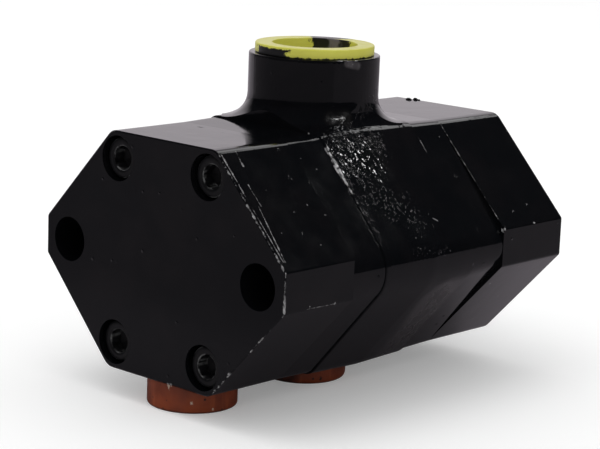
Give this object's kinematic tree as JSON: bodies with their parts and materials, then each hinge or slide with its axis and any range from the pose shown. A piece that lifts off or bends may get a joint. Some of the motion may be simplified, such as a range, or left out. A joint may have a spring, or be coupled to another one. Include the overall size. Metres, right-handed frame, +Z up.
{
  "type": "hydraulic gear pump",
  "caption": "Tandem gear pump: cast sections clamped between covers, boss-mounted inlet on top, outlets below, splined shaft at the far end.",
  "frame": {"origin": "on the drive shaft's axis, in the mounting face of the front cover", "axes": "+Y along the drive shaft towards its free end, +Z up through the inlet boss"},
  "size_m": [0.1518, 0.2305, 0.1547],
  "materials": {
    "casing_paint": "thick glossy black paint over cast and machined iron",
    "screw_paint": "black paint over steel, chipped",
    "bearing_bronze": "machined",
    "seal_rubber": "smooth",
    "yellow_plastic": "moulded, with black overspray",
    "brown_plastic": "moulded",
    "spring_steel": "blackened",
    "gear_steel": "ground"
  },
  "bodies": {
    "casing": {"rear_cover": "casing_paint", "rear_gear_housing": "casing_paint", "centre_port_block": "casing_paint", "front_gear_housing": "casing_paint", "front_cover": "casing_paint", "front_cover_drive_bush": "bearing_bronze", "front_cover_idler_bush": "bearing_bronze", "front_block_drive_bush": "bearing_bronze", "front_block_idler_bush": "bearing_bronze", "rear_block_drive_bush": "bearing_bronze", "rear_block_idler_bush": "bearing_bronze", "rear_cover_drive_bush": "bearing_bronze", "rear_cover_idler_bush": "bearing_bronze", "front_cover_wear_plate": "bearing_bronze", "front_block_wear_plate": "bearing_bronze", "rear_block_wear_plate": "bearing_bronze", "rear_cover_wear_plate": "bearing_bronze", "front_cover_seal": "seal_rubber", "front_block_seal": "seal_rubber", "rear_block_seal": "seal_rubber", "rear_cover_seal": "seal_rubber", "dowel_pins": "gear_steel", "tie_screws": "screw_paint", "shaft_seal": "seal_rubber", "seal_ring": "spring_steel", "inlet_plug": "yellow_plastic", "centre_outlet_cap": "brown_plastic", "rear_outlet_cap": "brown_plastic"},
    "drive_train": {"front_drive_gear": "gear_steel", "connecting_shaft": "gear_steel", "rear_drive_gear": "gear_steel"},
    "front_idler": {"front_idler_gear": "gear_steel"},
    "rear_idler": {"rear_idler_gear": "gear_steel"}
  },
  "joints": [
    {"name": "drive_spin", "type": "hinge", "parent": "casing", "child": "drive_train", "pos_m": [0, 0, 0], "axis": [0, 1, 0], "continuous": true},
    {"name": "front_idler_spin", "type": "hinge", "parent": "casing", "child": "front_idler", "pos_m": [0.039, -0.055, 0], "axis": [0, 1, 0], "continuous": true},
    {"name": "rear_idler_spin", "type": "hinge", "parent": "casing", "child": "rear_idler", "pos_m": [0.039, -0.1365, 0], "axis": [0, 1, 0], "continuous": true}
  ],
  "couplings": [
    {"joint": "front_idler_spin", "follows": "drive_spin", "ratio": -1},
    {"joint": "rear_idler_spin", "follows": "drive_spin", "ratio": -1}
  ]
}
